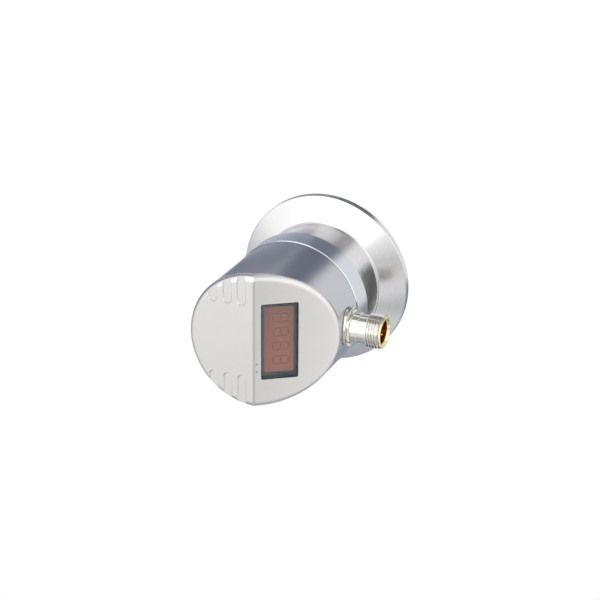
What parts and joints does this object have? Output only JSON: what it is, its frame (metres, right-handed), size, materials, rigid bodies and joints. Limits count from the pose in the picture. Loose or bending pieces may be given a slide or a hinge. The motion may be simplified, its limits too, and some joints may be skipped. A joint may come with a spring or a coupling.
{
  "type": "temperature transmitter",
  "caption": "Hygienic temperature transmitter: drawn steel head with sloped display and side plug connector, turning on a collar, polished neck and round clamp flange with a short probe.",
  "frame": {"origin": "centre of the clamp flange's sealing face, where the probe leaves it", "axes": "+Z along the sensor axis from the sealing face to the head, +X along the plug connector, which the sloped display half faces too"},
  "size_m": [0.0696, 0.064, 0.0955],
  "materials": {
    "turned_steel": "turned and polished stainless steel",
    "collar_steel": "fine turned stainless steel",
    "drawn_steel": "drawn stainless sheet, bead blasted to satin",
    "spring_steel": "blued spring steel",
    "bright_steel": "zinc plated steel",
    "nickel_plate": "bright nickel plated brass",
    "gold_plate": "gold plated brass",
    "plain_brass": "turned brass",
    "seal_rubber": "moulded rubber",
    "ceramic": "fired ceramic",
    "tinned_wire": "tinned copper wire",
    "cable_jacket": "extruded jacket",
    "circuit_board": "glass epoxy with green lacquer",
    "black_resin": "moulded epoxy resin",
    "clear_pane": "clear moulded pane",
    "dark_print": "screen printed border",
    "brown_filter": "tinted display filter",
    "display_grey": "moulded display block",
    "segment_resin": "unlit segment resin",
    "holder_plastic": "moulded plastic",
    "flex_foil": "flexible circuit foil",
    "white_plastic": "moulded plastic",
    "insert_plastic": "moulded contact carrier"
  },
  "bodies": {
    "process_side": {"clamp_flange": "turned_steel", "base_collar": "collar_steel", "probe_sheath": "turned_steel", "sensor_element": "ceramic", "sensor_insulator": "ceramic", "sensor_leads": "tinned_wire", "sensor_board": "circuit_board", "sensor_board_ring": "white_plastic", "swivel_cable": "cable_jacket", "swivel_seal": "seal_rubber", "retaining_ring": "spring_steel", "stop_pin": "bright_steel"},
    "head": {"head_can": "drawn_steel", "head_ring": "collar_steel", "window_gasket": "seal_rubber", "window_pane": "clear_pane", "display_mask": "dark_print", "display_filter": "brown_filter", "display_module": "display_grey", "display_digits": "segment_resin", "display_board": "circuit_board", "display_holder": "holder_plastic", "display_ribbon": "flex_foil", "main_board": "circuit_board", "board_components": "black_resin", "board_posts": "plain_brass", "board_screws": "bright_steel", "cable_plug": "white_plastic", "connector_gasket": "seal_rubber", "connector_shell": "nickel_plate", "connector_sleeve": "gold_plate", "contact_insert": "insert_plastic", "contact_pins": "gold_plate", "connector_washer": "white_plastic", "connector_nut": "nickel_plate", "connector_board": "circuit_board"}
  },
  "joints": [
    {"name": "head_rotation", "type": "hinge", "parent": "process_side", "child": "head", "pos_m": [0, 0, 0.0333], "axis": [0, 0, 1], "range_deg": [-172.5, 172.5]}
  ]
}
